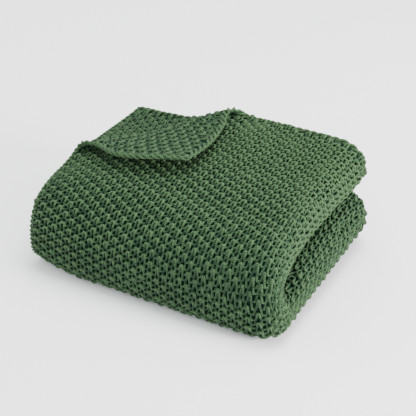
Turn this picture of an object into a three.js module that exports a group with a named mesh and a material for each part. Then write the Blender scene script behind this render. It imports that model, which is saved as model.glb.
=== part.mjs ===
// Folded knit throw, lying flat, in millimetres.
// X runs along the long front fold, Y to the back, Z up. The origin is the centre of the underside's box.
// One cloth is folded three times: in half along its length, in three across its width with the loose
// end tucked in at the left, and in half again so that the last fold faces the front.
// The top layer's back left corner is turned over.

import * as THREE from 'three';

// Driving sizes of the folded stack
const SIZE = {
  width: 450,        // left ends to the outside of the right folds
  depth: 330,        // front fold to the back ends
  backRight: 198.4,  // height at the back, right and left
  backLeft: 182.4,
  frontRight: 152.1, // height where the top starts to round over, right and left
  frontLeft: 151.1,
  slope: 1.22,       // how late the top falls off towards the front
};

// Sag of the back left corner, where only loose ends lie on each other
const SAG = { drop: 38.4, lengthX: 194.9, lengthY: 198.1 };

// Soft swell of the top in front of its middle, at a height that counts as full
const SWELL = { rise: 13, y: -45, length: 72, start: 110, height: 160 };

// Rounding of the left end: the stack shrinks towards its last centimetres and reaches out a little
const END = { shrink: 0.11, inward: 10.2, outward: 8.1, length: 56, power: 2.5, thin: 0.16 };

// Small crease on the lower right fold: depth, height, half height, and its stretch along the fold
const CREASE = { depth: 5, z: 71, width: 5, from: 70, to: 146, x: 185 };

// Front fold: its outer round, and the axis that the inner layers turn about
const FRONT = {
  roundTop: 104,     // depth of the upper round
  roundBottom: 37.4, // depth of the lower round
  noseHeight: 51.5,  // height of the foremost line
  fullTop: 2.71,     // fullness of the two rounds, 2 is an ellipse
  fullBottom: 3.11,
  axisDepth: 62.2,   // fold axis behind the front
  axisHeight: 66.4,
  innerRadius: 8.5,  // centre line of the innermost layer, round the eye of the fold
};

// The lower round is larger at the left end
const LEFT_END = { round: 63.2, full: 2.2, length: 80 };

// Right folds: one for the upper half of the stack and one for the lower half
const LOBE = { reachTop: 54.1, reachBottom: 57.3, full: 2.19, path: 118, inner: 13.5 };

// The upper right fold draws in between its back end and the front
const WAIST = { depth: 20.2, from: 0.005, to: 0.515 };

// Height between the two halves of the stack at the back, and its crown half way
const MID_HEIGHT_BACK = 105.6;
const MID_CROWN = 2.9;

// Cloth
const CLOTH = {
  thickBack: 10.5,
  thickFront: 8.2,
  flatWidth: 1270,
  midGap: 4.5,       // clear height between the two halves of the stack at the back
};

// Layer levels run from 0 for the innermost layer to 1 for the outermost, six in each half
const LEVEL_STEP = 0.2;

// Tuck at the left and the loose end inside
const TUCK = { inset: 27, reach: 15, spread: 5.5, path: 50, pinch: 0.45 };
const LOOSE_END = 96;

// Turned corner of the top layer
const CORNER = {
  side: 205,         // length turned over along the left end
  back: 224,         // and along the back
  stretch: 0.967,    // pull of the turned cloth across and along the turned edge
  shear: 0.292,
  roll: 6.6,         // radius of the turned edge in its middle
  rollEnd: 10.5,     // and at its two ends
  tipDrop: 3,
  bow: 30,           // how far the turned left edge bows to the front, and where from the tip
  bowAt: 98,
  bowToTip: 75,      // reach of the bow towards the tip, towards the turned edge and into the cloth
  bowToTurn: 38,
  bowDeep: 105,
  backBow: 11,       // the turned back edge bows to the right
  backBowDeep: 60,
};

// The stack's back left corner stands up and in, the back edge dips beside it, and the turned corner's
// back end is pushed to the right
const BACK_CORNER = { right: 14, back: 12, up: 10, reachX: 55, reachY: 35, height: 150 };
const BACK_DIP = { depth: 6, x: -105, reach: 32, start: 110, length: 40 };
const TURN_END = { right: 13, x: 2, reach: 34, start: 115, length: 45 };

const HALF = SIZE.width / 2;
const BACK = SIZE.depth / 2;
const LOBE_X = HALF - LOBE.reachTop;
const AXIS_Y = -BACK + FRONT.axisDepth;
const TOP_ROUND_Y = -BACK + FRONT.roundTop;
const CORNER_EDGE = Math.hypot(CORNER.side, CORNER.back);

function clamp01(t) {
  return Math.min(Math.max(t, 0), 1);
}

function smooth(t) {
  const u = clamp01(t);
  return u * u * (3 - 2 * u);
}

function mix(a, b, t) {
  return a + (b - a) * t;
}

// One quarter of a superellipse, angle from 0 to a right angle
function quarter(angle, fullness) {
  const c = Math.max(Math.cos(angle), 0);
  const s = Math.max(Math.sin(angle), 0);
  const norm = Math.pow(Math.pow(c, fullness) + Math.pow(s, fullness), -1 / fullness);
  return [c * norm, s * norm];
}

// Height of the top, t from 0 at the back to 1 where it starts to round over
function topHeight(x, t) {
  const k = Math.pow(clamp01((x + HALF) / (LOBE_X + HALF)), 0.8);
  const back = mix(SIZE.backLeft, SIZE.backRight, k);
  const front = mix(SIZE.frontLeft, SIZE.frontRight, k);
  const swell = 1.6 * Math.sin(x / 61 + 0.6) * Math.sin(Math.PI * clamp01(t));
  return mix(back, front, Math.pow(clamp01(t), SIZE.slope)) + swell;
}

function thickness(y) {
  return mix(CLOTH.thickFront, CLOTH.thickBack, smooth((y + BACK) / 190));
}

// A layer runs from w = 0 at the top back end over the front at 0.5 to 1 at the bottom back end
const W_TOP = 0.36;
const W_LOW = 0.64;

// Centre line of the outermost layer
function outerLine(w, x) {
  const end = smooth((x + HALF) / LEFT_END.length);
  const lowRound = mix(LEFT_END.round, FRONT.roundBottom, end);
  const lowFull = mix(LEFT_END.full, FRONT.fullBottom, end);
  const nose = FRONT.noseHeight;
  const hold = thickness(-BACK) / 2;
  if (w < W_TOP) {
    const t = w / W_TOP;
    const y = mix(BACK, TOP_ROUND_Y, t);
    return [y, topHeight(x, t) - thickness(y) / 2];
  }
  if (w < 0.5) {
    const q = quarter((w - W_TOP) / (0.5 - W_TOP) * Math.PI / 2, FRONT.fullTop);
    return [TOP_ROUND_Y - (FRONT.roundTop - hold) * q[1], nose + (topHeight(x, 1) - hold - nose) * q[0]];
  }
  if (w < W_LOW) {
    const q = quarter((w - 0.5) / (W_LOW - 0.5) * Math.PI / 2, lowFull);
    return [-BACK + lowRound - (lowRound - hold) * q[0], nose - (nose - hold) * q[1]];
  }
  const y = mix(-BACK + lowRound, BACK, (w - W_LOW) / (1 - W_LOW));
  return [y, thickness(y) / 2];
}

// Centre line of the innermost layer
function innerLine(w) {
  const r = FRONT.innerRadius;
  if (w < W_TOP || w > W_LOW) {
    const t = w < W_TOP ? 1 - w / W_TOP : (w - W_LOW) / (1 - W_LOW);
    const mid = mix(FRONT.axisHeight, MID_HEIGHT_BACK, t) + MID_CROWN * 4 * t * (1 - t);
    const away = mix(r, (CLOTH.midGap + CLOTH.thickBack) / 2, smooth(t * 2));
    return [mix(AXIS_Y, BACK, t), w < W_TOP ? mid + away : mid - away];
  }
  const a = (w - W_TOP) / (W_LOW - W_TOP) * Math.PI;
  return [AXIS_Y - r * Math.sin(a), FRONT.axisHeight + r * Math.cos(a)];
}

// A place in the stack from its x, its level and its station from back to front
function stackPoint(x, level, w) {
  const a = innerLine(w);
  const b = outerLine(w, x);
  return [x, mix(a[0], b[0], level), mix(a[1], b[1], level)];
}

// Share of the height that the sag takes off at a place
function sagShare(point) {
  const acrossX = smooth(1 - (point[0] + HALF) / SAG.lengthX);
  const acrossY = smooth(1 - (BACK - point[1]) / SAG.lengthY);
  return SAG.drop / SIZE.backLeft * acrossX * acrossY;
}

// Across the width: over the top, round the right fold, back under, round the tuck, to the loose end.
// side is 1 for the outer of the two doubled layers and -1 for the inner
const P_LOBE = LOBE_X + HALF;
const P_UNDER = P_LOBE + LOBE.path;
const P_TUCK = P_UNDER + P_LOBE - TUCK.inset;
const P_LOOSE = P_TUCK + TUCK.path;
const P_END = CLOTH.flatWidth;

function widthPoint(p, side, w) {
  if (p <= P_LOBE) {
    return [-HALF + p, 0.9 + LEVEL_STEP / 2 * side];
  }
  if (p < P_UNDER) {
    const a = (p - P_LOBE) / LOBE.path * Math.PI;
    const c = Math.cos(a);
    const s = Math.max(Math.sin(a), 0);
    const norm = Math.pow(Math.pow(Math.abs(c), LOBE.full) + Math.pow(s, LOBE.full), -1 / LOBE.full);
    const reach = mix(LOBE.reachTop, LOBE.reachBottom, smooth((w - 0.42) / 0.16)) - CLOTH.thickBack / 2;
    const waist = WAIST.depth * Math.sin(Math.PI * clamp01((w - WAIST.from) / (WAIST.to - WAIST.from)));
    const cross = reach - waist - (1 - side) / 2 * LOBE.inner;
    return [LOBE_X + cross * s * norm, 0.5 + (0.4 + 0.1 * side) * c * norm];
  }
  if (p <= P_TUCK) {
    return [LOBE_X - (p - P_UNDER), 0.1 - LEVEL_STEP / 2 * side];
  }
  const tuckX = -HALF + TUCK.inset;
  if (p < P_LOOSE) {
    const a = (p - P_TUCK) / TUCK.path * Math.PI;
    const reach = TUCK.reach + TUCK.spread * side;
    return [tuckX - reach * Math.sin(a), 0.3 - (0.2 + 0.1 * side) * Math.cos(a)];
  }
  const t = (p - P_LOOSE) / (P_END - P_LOOSE);
  return [mix(tuckX, LOOSE_END, t), 0.5 + LEVEL_STEP / 2 * side];
}

// Turned corner: the cloth rolls over a line across the back left corner and lies down on the top
function turnCorner(point, p, w) {
  const a = CORNER.side;
  const b = CORNER.back;
  const fromBack = BACK - point[1];
  const past = (a * b - a * p - b * fromBack) / CORNER_EDGE;
  if (past <= 0 || w > W_TOP) {
    return point;
  }
  const along = (2 * (b * p - a * fromBack) - (b * b - a * a)) / (CORNER_EDGE * CORNER_EDGE);
  const r = mix(CORNER.roll, CORNER.rollEnd, Math.pow(Math.min(Math.abs(along), 1), 2));
  const turn = Math.min(past / r, Math.PI);
  const flat = Math.max(past - Math.PI * r, 0);
  const across = past - r * Math.sin(turn) + CORNER.stretch * flat;
  const slide = CORNER.shear * flat;
  const reach = fromBack < CORNER.bowAt ? CORNER.bowToTip : CORNER.bowToTurn;
  const near = Math.exp(-Math.pow((fromBack - CORNER.bowAt) / reach, 2));
  const bow = CORNER.bow * near * smooth(1 - p / CORNER.bowDeep) * smooth(flat / 30);
  const fromEdge = Math.exp(-Math.pow(fromBack / CORNER.backBowDeep, 2));
  const bulge = CORNER.backBow * Math.sin(Math.PI * clamp01(p / b)) * fromEdge * smooth(flat / 30);
  return [
    point[0] + (across * a + slide * b) / CORNER_EDGE + bulge,
    point[1] + (-across * b + slide * a) / CORNER_EDGE - bow,
    point[2] + r * (1 - Math.cos(turn)) - CORNER.tipDrop * smooth(flat / 120) - 0.12 * bow,
  ];
}

// Bends the whole stack: the swell of the top, the rounded left end and the small crease
function bendStack(point) {
  const [x, y, z] = point;
  const crown = Math.exp(-Math.pow((y - SWELL.y) / SWELL.length, 2)) * smooth((x + HALF) / SWELL.start);
  const high = z + SWELL.rise * crown * Math.pow(z / SWELL.height, 2);
  const u = clamp01((-HALF + END.length - x) / END.length);
  const rounded = Math.pow(u, END.power);
  const front = smooth((-15 - y) / 110);
  const along = smooth((y - CREASE.from) / 18) * smooth((CREASE.to - y) / 18);
  const inCrease = smooth((x - CREASE.x) / 25) * along;
  const trough = CREASE.depth * inCrease * Math.exp(-Math.pow((z - CREASE.z) / CREASE.width, 2));
  const upper = Math.pow(z / BACK_CORNER.height, 2);
  const nearX = Math.pow((x + HALF) / BACK_CORNER.reachX, 2);
  const nearY = Math.pow((y - BACK) / BACK_CORNER.reachY, 2);
  const ear = upper * Math.exp(-nearX - nearY);
  const atDip = Math.exp(-Math.pow((x - BACK_DIP.x) / BACK_DIP.reach, 2));
  const dip = upper * atDip * smooth((y - BACK_DIP.start) / BACK_DIP.length);
  const atTurn = Math.exp(-Math.pow((x - TURN_END.x) / TURN_END.reach, 2));
  const push = upper * atTurn * smooth((y - TURN_END.start) / TURN_END.length);
  return [
    x - END.outward * u * u * front - trough + BACK_CORNER.right * ear + TURN_END.right * push,
    y + END.inward * rounded * clamp01((-y - 60) / 105) + BACK_CORNER.back * ear,
    high * (1 - END.shrink * rounded * (0.25 + 0.75 * front)) + BACK_CORNER.up * ear - BACK_DIP.depth * dip,
  ];
}

// The whole cloth: v runs from 0 at the top back end over the outer layer to the bottom back fold at 1,
// and back over the inner layer to 2
const V_FOLD = 0.03;
const FOLD_REACH = 8.5;

function clothPoint(p, v) {
  let side = 1;
  let w = v / (1 - V_FOLD);
  let out = 0;
  if (v > 1 - V_FOLD) {
    const a = Math.min((v - (1 - V_FOLD)) / (2 * V_FOLD), 1) * Math.PI;
    side = Math.cos(a);
    out = FOLD_REACH * Math.sin(a);
    w = 1;
  }
  if (v > 1 + V_FOLD) {
    side = -1;
    out = 0;
    w = (2 - v) / (1 - V_FOLD);
  }
  const s = widthPoint(p, side, w);
  let point = stackPoint(s[0], s[1], w);
  point[1] += out;
  if (side === 1) {
    point = turnCorner(point, p, w);
  }
  return bendStack([point[0], point[1], point[2] * (1 - sagShare(point))]);
}

function surfaceNormal(p, v) {
  const dp = 0.4;
  const dv = 0.0008;
  const a = new THREE.Vector3(...clothPoint(Math.min(p + dp, P_END), v));
  const b = new THREE.Vector3(...clothPoint(p, Math.min(v + dv, 2)));
  a.sub(new THREE.Vector3(...clothPoint(Math.max(p - dp, 0), v)));
  b.sub(new THREE.Vector3(...clothPoint(p, Math.max(v - dv, 0))));
  return b.cross(a).normalize();
}

// Grid lines: spans with a number of equal steps each
function lines(spans) {
  const list = [spans[0].from];
  for (const span of spans) {
    for (let i = 1; i <= span.steps; i += 1) {
      list.push(mix(span.from, span.to, i / span.steps));
    }
  }
  return list;
}

// The turned edge runs through grid points, with the same number of steps on both sides of the corner
const P_LINES = lines([
  { from: 0, to: CORNER.back, steps: 16 },
  { from: CORNER.back, to: P_LOBE, steps: 3 },
  { from: P_LOBE, to: P_UNDER, steps: 9 },
  { from: P_UNDER, to: P_TUCK, steps: 6 },
  { from: P_TUCK, to: P_LOOSE, steps: 6 },
  { from: P_LOOSE, to: P_END, steps: 4 },
]);

const V_TOP = W_TOP * (1 - V_FOLD);
const V_LOW = W_LOW * (1 - V_FOLD);
const V_CORNER = V_TOP * CORNER.side / (BACK - TOP_ROUND_Y);
const V_LINES = lines([
  { from: 0, to: V_CORNER, steps: 16 },
  { from: V_CORNER, to: V_TOP, steps: 1 },
  { from: V_TOP, to: V_LOW, steps: 14 },
  { from: V_LOW, to: 1 - V_FOLD, steps: 4 },
  { from: 1 - V_FOLD, to: 1 + V_FOLD, steps: 5 },
  { from: 1 + V_FOLD, to: 2 - V_LOW, steps: 4 },
  { from: 2 - V_LOW, to: 2 - V_TOP, steps: 12 },
  { from: 2 - V_TOP, to: 2, steps: 5 },
]);

// Half the cloth's thickness, less where the tuck, the sag and the left end squeeze it
function halfThickness(point, p) {
  const inTuck = clamp01((p - P_TUCK) / TUCK.path);
  const atEnd = Math.pow(clamp01((-HALF + END.length - point[0]) / END.length), END.power);
  const squeeze = (1 - TUCK.pinch * Math.sin(Math.PI * inTuck)) * (1 - 1.1 * sagShare(point));
  return thickness(point[1]) / 2 * squeeze * (1 - END.thin * atEnd);
}

// Closed thin body: one face on each side of the cloth and a narrow edge all round
function clothGeometry() {
  const np = P_LINES.length;
  const nv = V_LINES.length;
  const positions = [];
  for (const face of [1, -1]) {
    for (const p of P_LINES) {
      for (const v of V_LINES) {
        const c = clothPoint(p, v);
        const n = surfaceNormal(p, v);
        const half = halfThickness(c, p) * face;
        positions.push(c[0] + n.x * half, c[1] + n.y * half, Math.max(c[2] + n.z * half, 0));
      }
    }
  }
  const at = (face, i, j) => (face > 0 ? 0 : np * nv) + i * nv + j;
  const index = [];
  const quad = (a, b, c, d) => {
    index.push(a, b, c);
    index.push(a, c, d);
  };
  for (let i = 0; i + 1 < np; i += 1) {
    for (let j = 0; j + 1 < nv; j += 1) {
      quad(at(1, i + 1, j), at(1, i, j), at(1, i, j + 1), at(1, i + 1, j + 1));
      quad(at(-1, i, j + 1), at(-1, i, j), at(-1, i + 1, j), at(-1, i + 1, j + 1));
    }
  }
  for (let i = 0; i + 1 < np; i += 1) {
    quad(at(1, i, 0), at(1, i + 1, 0), at(-1, i + 1, 0), at(-1, i, 0));
    quad(at(1, i + 1, nv - 1), at(1, i, nv - 1), at(-1, i, nv - 1), at(-1, i + 1, nv - 1));
  }
  for (let j = 0; j + 1 < nv; j += 1) {
    quad(at(1, 0, j + 1), at(1, 0, j), at(-1, 0, j), at(-1, 0, j + 1));
    quad(at(1, np - 1, j), at(1, np - 1, j + 1), at(-1, np - 1, j + 1), at(-1, np - 1, j));
  }
  const geometry = new THREE.BufferGeometry();
  geometry.setAttribute('position', new THREE.Float32BufferAttribute(positions, 3));
  geometry.setIndex(index);
  geometry.computeBoundingBox();
  const box = geometry.boundingBox;
  geometry.translate(-(box.min.x + box.max.x) / 2, -(box.min.y + box.max.y) / 2, -box.min.z);
  geometry.computeVertexNormals();
  return geometry;
}

const knit = new THREE.MeshStandardMaterial({ color: 0x47604a, roughness: 0.95, metalness: 0 });
const throwCloth = new THREE.Mesh(clothGeometry(), knit);
throwCloth.name = 'throw';

const part = new THREE.Group();
part.add(throwCloth);

export default part;
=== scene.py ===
import math

import bpy
import numpy as np
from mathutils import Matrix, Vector


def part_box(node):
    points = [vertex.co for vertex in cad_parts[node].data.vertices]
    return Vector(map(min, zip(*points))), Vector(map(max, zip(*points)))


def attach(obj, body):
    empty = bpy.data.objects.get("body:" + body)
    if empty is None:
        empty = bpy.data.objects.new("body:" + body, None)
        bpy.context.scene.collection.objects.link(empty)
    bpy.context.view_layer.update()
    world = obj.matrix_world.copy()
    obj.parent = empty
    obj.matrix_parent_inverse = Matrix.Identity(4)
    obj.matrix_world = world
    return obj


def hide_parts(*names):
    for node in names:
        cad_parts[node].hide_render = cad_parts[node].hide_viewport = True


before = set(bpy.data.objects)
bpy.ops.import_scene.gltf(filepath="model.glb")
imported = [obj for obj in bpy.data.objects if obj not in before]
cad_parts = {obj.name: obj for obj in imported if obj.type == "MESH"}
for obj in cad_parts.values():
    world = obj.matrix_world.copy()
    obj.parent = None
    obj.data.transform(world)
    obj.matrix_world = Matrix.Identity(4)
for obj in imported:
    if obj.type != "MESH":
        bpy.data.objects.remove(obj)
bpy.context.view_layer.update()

bl_info = {
    "name": "Folded knit throw",
    "version": (1, 0, 0),
    "blender": (4, 5, 0),
    "location": "View3D > Sidebar > Throw",
    "description": "Dresses a folded throw in seed stitch, yarn by yarn",
    "category": "Object",
}

MM = 0.001

# Sizes of the fold in millimetres, as in the part. Only the pocket isn't in the part
WIDTH, DEPTH = 450.0, 330.0
HALF, BACK = WIDTH / 2, DEPTH / 2
CLOTH = dict(thick_back=10.5, thick_front=8.2, thick_change=190.0, width=1270.0, mid_gap=4.5)
TOP = dict(back_right=198.4, back_left=182.4, front_right=152.1, front_left=151.1, slope=1.22, across=0.8,
           wave=1.6, wave_length=61.0, wave_start=0.6)
SAG = dict(drop=38.4, length_x=194.9, length_y=198.1, thins=1.1)
SWELL = dict(rise=13.0, y=-45.0, length=72.0, start=110.0, height=160.0)
END = dict(shrink=0.11, shrink_back=0.25, inward=10.2, inward_start=60.0, inward_length=105.0, outward=8.1,
           front_start=15.0, front_length=110.0, length=56.0, power=2.5, thin=0.16)
CREASE = dict(depth=5.0, z=71.0, width=5.0, start=70.0, end=146.0, ease=18.0, x=185.0, ease_x=25.0)
POCKET = dict(depth=17.0, z=65.0, rise=0.24, width=5.5, y=-69.0, half_length=33.0, steep=1.6, x=174.0,
              ease_x=24.0)
FRONT = dict(round_top=104.0, round_bottom=37.4, nose=51.5, full_top=2.71, full_bottom=3.11,
             axis_depth=62.2, axis_height=66.4, inner_radius=8.5)
LEFT_END = dict(round=63.2, full=2.2, length=80.0)
LOBE = dict(reach_top=54.1, reach_bottom=57.3, full=2.19, path=118.0, inner=13.5, change=0.42,
            change_length=0.16)
WAIST = dict(depth=20.2, start=0.005, end=0.515)
MID_HEIGHT_BACK, MID_CROWN = 105.6, 2.9
TUCK = dict(inset=27.0, reach=15.0, spread=5.5, path=50.0, pinch=0.45)
LOOSE_END = 96.0

# The turned corner: the two edges that it takes in, its rolled fold, its tip and how its edges bow
CORNER = dict(side=205.0, back=224.0, stretch=0.967, shear=0.292, roll=6.6, roll_end=10.5, tip_drop=3.0,
              tip_start=120.0, bow=30.0, bow_at=98.0, bow_to_tip=75.0, bow_to_turn=38.0, bow_deep=105.0,
              bow_drop=0.12, back_bow=11.0, back_bow_deep=60.0, bow_start=30.0)
CORNER_EDGE = math.hypot(CORNER["side"], CORNER["back"])

# The stack's back left corner stands up and in, the back edge dips beside it, and the turned corner's
# back end is pushed to the right
BACK_CORNER = dict(right=14.0, back=12.0, up=10.0, reach_x=55.0, reach_y=35.0, height=150.0)
BACK_DIP = dict(depth=6.0, x=-105.0, reach=32.0, start=110.0, length=40.0)
TURN_END = dict(right=13.0, x=2.0, reach=34.0, start=115.0, length=45.0)

LOBE_X = HALF - LOBE["reach_top"]
AXIS_Y = -BACK + FRONT["axis_depth"]
TOP_ROUND_Y = -BACK + FRONT["round_top"]

# Places on the cloth: p runs over its width from the top left. v runs over its length, from the top
# back end (0) over the outer half of the doubled cloth to the back fold (1), and over the inner half back
# to 2. w runs over the folded stack from the top back (0) round the front to the bottom back (1)
P_LOBE = LOBE_X + HALF
P_UNDER = P_LOBE + LOBE["path"]
P_TUCK = P_UNDER + P_LOBE - TUCK["inset"]
P_LOOSE = P_TUCK + TUCK["path"]
P_END = CLOTH["width"]
W_TOP, W_LOW = 0.36, 0.64
V_FOLD, FOLD_REACH = 0.03, 8.5
V_TOP = W_TOP * (1 - V_FOLD)
V_LOW = W_LOW * (1 - V_FOLD)
V_CORNER = V_TOP * CORNER["side"] / (BACK - TOP_ROUND_Y)

# Level of each doubled layer between the inner line (0) and the outer line (1), and how far its two
# halves lie from it
TOP_LEVEL, UNDER_LEVEL, LOOSE_LEVEL, HALVES_APART = 0.9, 0.1, 0.5, 0.1

# Steps over which the cloth's slope is measured
SLOPE_P, SLOPE_V = 0.4, 0.0008


def mix(a, b, t):
    return a + (b - a) * t


def clamp(t):
    return np.clip(t, 0.0, 1.0)


def smooth(t):
    u = clamp(t)
    return u * u * (3 - 2 * u)


def bell(distance, reach):
    return np.exp(-(distance / reach) ** 2)


def quarter(angle, fullness):
    """Place on a quarter of a round shape: 2 is a circle, and more is fuller."""
    c = np.maximum(np.cos(angle), 0)
    s = np.maximum(np.sin(angle), 0)
    norm = (c ** fullness + s ** fullness) ** (-1 / fullness)
    return c * norm, s * norm


def top_height(x, t):
    """Height of the top at x, from the back (t 0) to where the front rounds over (t 1)."""
    k = clamp((x + HALF) / P_LOBE) ** TOP["across"]
    back = mix(TOP["back_left"], TOP["back_right"], k)
    front = mix(TOP["front_left"], TOP["front_right"], k)
    wave = TOP["wave"] * np.sin(x / TOP["wave_length"] + TOP["wave_start"]) * np.sin(np.pi * clamp(t))
    return mix(back, front, clamp(t) ** TOP["slope"]) + wave


def thickness(y):
    return mix(CLOTH["thick_front"], CLOTH["thick_back"], smooth((y + BACK) / CLOTH["thick_change"]))


def outer_line(w, x):
    """Middle of the outermost layer, from the top back round the front to the bottom back."""
    end = smooth((x + HALF) / LEFT_END["length"])
    low_round = mix(LEFT_END["round"], FRONT["round_bottom"], end)
    low_full = mix(LEFT_END["full"], FRONT["full_bottom"], end)
    nose = FRONT["nose"]
    hold = thickness(-BACK) / 2
    t = w / W_TOP
    y_top = mix(BACK, TOP_ROUND_Y, t)
    z_top = top_height(x, t) - thickness(y_top) / 2
    c, s = quarter(clamp((w - W_TOP) / (0.5 - W_TOP)) * np.pi / 2, FRONT["full_top"])
    y_up = TOP_ROUND_Y - (FRONT["round_top"] - hold) * s
    z_up = nose + (top_height(x, 1.0) - hold - nose) * c
    c, s = quarter(clamp((w - 0.5) / (W_LOW - 0.5)) * np.pi / 2, low_full)
    y_low = -BACK + low_round - (low_round - hold) * c
    z_low = nose - (nose - hold) * s
    y_flat = mix(-BACK + low_round, BACK, (w - W_LOW) / (1 - W_LOW))
    z_flat = thickness(y_flat) / 2
    where = [w < W_TOP, w < 0.5, w < W_LOW]
    return np.select(where, [y_top, y_up, y_low], y_flat), np.select(where, [z_top, z_up, z_low], z_flat)


def inner_line(w):
    """Middle of the innermost layer, which turns round the axis of the last fold."""
    r = FRONT["inner_radius"]
    t = np.where(w < W_TOP, 1 - w / W_TOP, (w - W_LOW) / (1 - W_LOW))
    mid = mix(FRONT["axis_height"], MID_HEIGHT_BACK, t) + MID_CROWN * 4 * t * (1 - t)
    away = mix(r, (CLOTH["mid_gap"] + CLOTH["thick_back"]) / 2, smooth(t * 2))
    a = clamp((w - W_TOP) / (W_LOW - W_TOP)) * np.pi
    flat = (w < W_TOP) | (w > W_LOW)
    y = np.where(flat, mix(AXIS_Y, BACK, t), AXIS_Y - r * np.sin(a))
    z = np.where(flat, np.where(w < W_TOP, mid + away, mid - away), FRONT["axis_height"] + r * np.cos(a))
    return y, z


def sag_share(x, y):
    """Share of the height that the sag takes off at the back left."""
    across = smooth(1 - (x + HALF) / SAG["length_x"]) * smooth(1 - (BACK - y) / SAG["length_y"])
    return SAG["drop"] / TOP["back_left"] * across


def width_point(p, side, w):
    """Place over the width, and level between the inner and the outer line. side is 1 on the outer half
    of the doubled cloth and -1 on the inner half."""
    a = clamp((p - P_LOBE) / LOBE["path"]) * np.pi
    c, s = np.cos(a), np.maximum(np.sin(a), 0)
    norm = (np.abs(c) ** LOBE["full"] + s ** LOBE["full"]) ** (-1 / LOBE["full"])
    low = smooth((w - LOBE["change"]) / LOBE["change_length"])
    reach = mix(LOBE["reach_top"], LOBE["reach_bottom"], low) - CLOTH["thick_back"] / 2
    waist = WAIST["depth"] * np.sin(np.pi * clamp((w - WAIST["start"]) / (WAIST["end"] - WAIST["start"])))
    cross = reach - waist - (1 - side) / 2 * LOBE["inner"]
    tuck_x = -HALF + TUCK["inset"]
    b = clamp((p - P_TUCK) / TUCK["path"]) * np.pi
    t = (p - P_LOOSE) / (P_END - P_LOOSE)
    where = [p <= P_LOBE, p < P_UNDER, p <= P_TUCK, p < P_LOOSE]
    x = np.select(where, [
        -HALF + p,
        LOBE_X + cross * s * norm,
        LOBE_X - (p - P_UNDER),
        tuck_x - (TUCK["reach"] + TUCK["spread"] * side) * np.sin(b),
    ], mix(tuck_x, LOOSE_END, t))
    lobe_middle, lobe_swing = (TOP_LEVEL + UNDER_LEVEL) / 2, (TOP_LEVEL - UNDER_LEVEL) / 2
    tuck_middle, tuck_swing = (LOOSE_LEVEL + UNDER_LEVEL) / 2, (LOOSE_LEVEL - UNDER_LEVEL) / 2
    half = HALVES_APART * side
    level = np.select(where, [
        TOP_LEVEL + half + 0 * p,
        lobe_middle + (lobe_swing + half) * c * norm,
        UNDER_LEVEL - half + 0 * p,
        tuck_middle - (tuck_swing + half) * np.cos(b),
    ], LOOSE_LEVEL + half + 0 * p)
    return x, level


def past_turn(p, from_back):
    """How far a place lies past the slanting line over which the top corner is turned."""
    a, b = CORNER["side"], CORNER["back"]
    return (a * b - a * p - b * from_back) / CORNER_EDGE


def turn_corner(point, p, w, side):
    """Rolls the top layer's corner over its slanting line and lays it back on the top."""
    a, b = CORNER["side"], CORNER["back"]
    from_back = BACK - point[..., 1]
    past = past_turn(p, from_back)
    on = (past > 0) & (w <= W_TOP) & (side == 1)
    along = (2 * (b * p - a * from_back) - (b * b - a * a)) / CORNER_EDGE ** 2
    r = mix(CORNER["roll"], CORNER["roll_end"], np.minimum(np.abs(along), 1) ** 2)
    turn = np.clip(past / r, 0, np.pi)
    flat = np.maximum(past - np.pi * r, 0)
    across = past - r * np.sin(turn) + CORNER["stretch"] * flat
    slide = CORNER["shear"] * flat
    begun = smooth(flat / CORNER["bow_start"])
    reach = np.where(from_back < CORNER["bow_at"], CORNER["bow_to_tip"], CORNER["bow_to_turn"])
    near = bell(from_back - CORNER["bow_at"], reach)
    bow = CORNER["bow"] * near * smooth(1 - p / CORNER["bow_deep"]) * begun
    bulge = CORNER["back_bow"] * np.sin(np.pi * clamp(p / b)) * begun
    bulge = bulge * bell(from_back, CORNER["back_bow_deep"])
    lift = r * (1 - np.cos(turn)) - CORNER["tip_drop"] * smooth(flat / CORNER["tip_start"])
    moved = point.copy()
    moved[..., 0] += np.where(on, (across * a + slide * b) / CORNER_EDGE + bulge, 0)
    moved[..., 1] += np.where(on, (-across * b + slide * a) / CORNER_EDGE - bow, 0)
    moved[..., 2] += np.where(on, lift - CORNER["bow_drop"] * bow, 0)
    return moved


def lobe_dents(x, y, z):
    """Depth of the crease and of the pocket in the lower right fold."""
    ends = smooth((y - CREASE["start"]) / CREASE["ease"]) * smooth((CREASE["end"] - y) / CREASE["ease"])
    deep = CREASE["depth"] * smooth((x - CREASE["x"]) / CREASE["ease_x"])
    crease = deep * ends * bell(z - CREASE["z"], CREASE["width"])
    ends = smooth(POCKET["steep"] * (1 - np.abs(y - POCKET["y"]) / POCKET["half_length"]))
    deep = POCKET["depth"] * smooth((x - POCKET["x"]) / POCKET["ease_x"])
    over = z - POCKET["z"] - POCKET["rise"] * (y - POCKET["y"])
    return crease + deep * ends * bell(over, POCKET["width"])


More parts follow.
